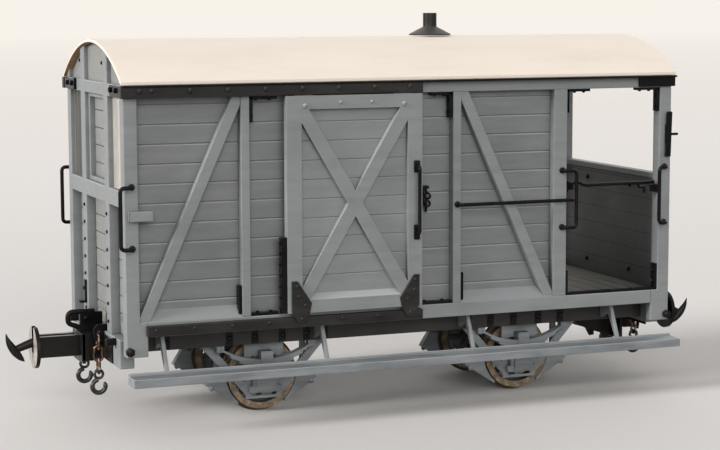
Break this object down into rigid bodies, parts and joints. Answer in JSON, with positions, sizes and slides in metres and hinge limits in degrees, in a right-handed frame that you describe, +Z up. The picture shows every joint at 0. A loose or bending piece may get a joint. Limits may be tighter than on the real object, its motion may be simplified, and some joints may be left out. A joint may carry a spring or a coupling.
{
  "type": "model brake van",
  "caption": "Narrow-gauge model goods brake van with a boarded cabin, sliding side doors, an open veranda, arched roof, sprung underframe and centre couplers.",
  "frame": {"origin": "under the middle of the van, level with the bottoms of the wheel flanges", "axes": "+X runs along the van to the open veranda end, +Y to the far side, +Z up"},
  "size_m": [0.3164, 0.1164, 0.1627],
  "materials": {
    "body_grey": "satin grey paint on the body and framing",
    "roof_cream": "matt cream canvas-like paint",
    "iron_black": "satin black ironwork",
    "sole_charcoal": "matt charcoal underframe",
    "running_grey": "satin grey running gear",
    "floor_boards": "matt worn grey floor boards",
    "wheel_steel": "turned wheels with a warm steel tone",
    "chain_brass": "browned brass chain",
    "window_glass": "clear flat glazing"
  },
  "bodies": {
    "van": {"axleboxes": "running_grey", "bar_lugs": "iron_black", "bar_rests": "iron_black", "bottom_rails": "body_grey", "brake_gear": "running_grey", "bulkhead": "body_grey", "bulkhead_hinges": "iron_black", "cabin_end_boards": "body_grey", "cabin_end_frame": "body_grey", "cabin_windows": "window_glass", "cant_rails": "body_grey", "chain_eyes": "iron_black", "chimney": "iron_black", "corner_posts": "body_grey", "corner_straps": "iron_black", "coupler_guards": "iron_black", "cross_bearers": "sole_charcoal", "door_rails": "iron_black", "door_stops": "body_grey", "door_tracks": "iron_black", "drawgear_a": "iron_black", "drawgear_b": "iron_black", "floor": "floor_boards", "footboard_hangers": "running_grey", "footboards": "running_grey", "grab_rails": "iron_black", "handrails": "iron_black", "headstock_knees": "sole_charcoal", "headstocks": "body_grey", "lamp_irons": "iron_black", "roof": "roof_cream", "safety_chains": "chain_brass", "side_braces": "body_grey", "side_planks": "body_grey", "side_uprights": "body_grey", "sill_fillets": "body_grey", "solebars": "sole_charcoal", "springs": "running_grey", "veranda_arch": "body_grey", "veranda_end_boards": "body_grey", "veranda_end_frame": "body_grey", "w_irons": "running_grey"},
    "axle_a": {"axle_a": "wheel_steel", "wheelset_a": "wheel_steel"},
    "axle_b": {"axle_b": "wheel_steel", "wheelset_b": "wheel_steel"},
    "door_near": {"door_near": "body_grey", "door_near_irons": "iron_black"},
    "door_far": {"door_far": "body_grey", "door_far_irons": "iron_black"},
    "bar_near": {"bar_near": "iron_black"},
    "bar_far": {"bar_far": "iron_black"},
    "hook_a": {"hook_a": "iron_black"},
    "hook_b": {"hook_b": "iron_black"},
    "bulkhead_door": {"bulkhead_door": "body_grey"}
  },
  "joints": [
    {"name": "axle_a_turn", "type": "hinge", "parent": "van", "child": "axle_a", "pos_m": [-0.058, 0, 0.016], "axis": [0, 1, 0], "continuous": true},
    {"name": "axle_b_turn", "type": "hinge", "parent": "van", "child": "axle_b", "pos_m": [0.058, 0, 0.016], "axis": [0, 1, 0], "continuous": true},
    {"name": "door_near_slide", "type": "slide", "parent": "van", "child": "door_near", "axis": [-1, 0, 0], "range_m": [0, 0.054]},
    {"name": "door_far_slide", "type": "slide", "parent": "van", "child": "door_far", "axis": [-1, 0, 0], "range_m": [0, 0.054]},
    {"name": "bar_near_lift", "type": "hinge", "parent": "van", "child": "bar_near", "pos_m": [0.0726, -0.0454, 0.0903], "axis": [0, -1, 0], "range_deg": [0, 75]},
    {"name": "bar_far_lift", "type": "hinge", "parent": "van", "child": "bar_far", "pos_m": [0.0726, 0.0454, 0.0903], "axis": [0, -1, 0], "range_deg": [0, 75]},
    {"name": "hook_a_lift", "type": "hinge", "parent": "van", "child": "hook_a", "pos_m": [-0.133, 0, 0.0295], "axis": [0, 1, 0], "range_deg": [0, 25]},
    {"name": "hook_b_lift", "type": "hinge", "parent": "van", "child": "hook_b", "pos_m": [0.133, 0, 0.0271], "axis": [0, -1, 0], "range_deg": [0, 25]},
    {"name": "bulkhead_door_swing", "type": "hinge", "parent": "van", "child": "bulkhead_door", "pos_m": [0.0689, 0.0116, 0.083], "axis": [0, 0, 1], "range_deg": [0, 95]}
  ]
}
